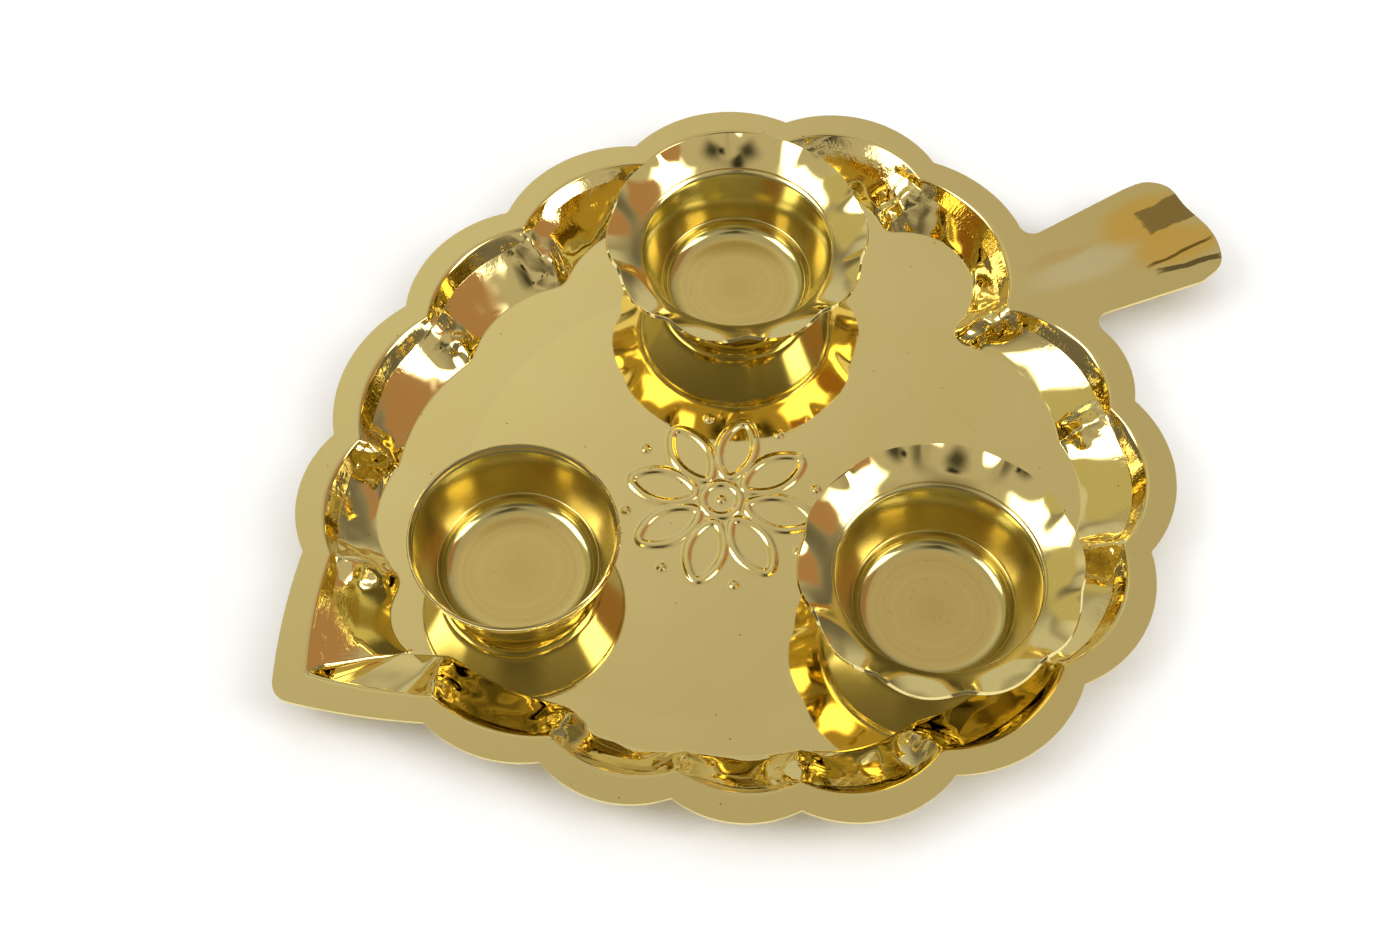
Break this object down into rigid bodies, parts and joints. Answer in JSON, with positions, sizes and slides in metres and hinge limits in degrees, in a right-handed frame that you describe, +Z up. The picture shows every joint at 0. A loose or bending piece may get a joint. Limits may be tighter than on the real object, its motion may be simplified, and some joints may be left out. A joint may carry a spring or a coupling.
{
  "type": "kumkum holder plate",
  "caption": "Leaf-shaped brass tray with a scalloped rim, a raised lotus and a stem, carrying loose round cups for kumkum, turmeric and rice.",
  "frame": {"origin": "middle of the object's box, on the underside of the tray's floor", "axes": "+X along the leaf from its tip to the end of its stem, +Z up out of the tray"},
  "size_m": [0.2288, 0.1742, 0.0222],
  "materials": {
    "tray_brass": "polished pressed sheet",
    "cup_brass": "polished spun sheet"
  },
  "bodies": {
    "tray": {"leaf_plate": "tray_brass"},
    "far_cup": {"fluted_cup_far": "cup_brass"},
    "near_cup": {"fluted_cup_near": "cup_brass"},
    "tip_cup": {"plain_cup": "cup_brass"}
  },
  "joints": [
    {"name": "far_cup_lift", "type": "slide", "parent": "tray", "child": "far_cup", "axis": [0, 0, 1], "range_m": [0, 0.05]},
    {"name": "near_cup_lift", "type": "slide", "parent": "tray", "child": "near_cup", "axis": [0, 0, 1], "range_m": [0, 0.05]},
    {"name": "plain_cup_lift", "type": "slide", "parent": "tray", "child": "tip_cup", "axis": [0, 0, 1], "range_m": [0, 0.05]}
  ]
}
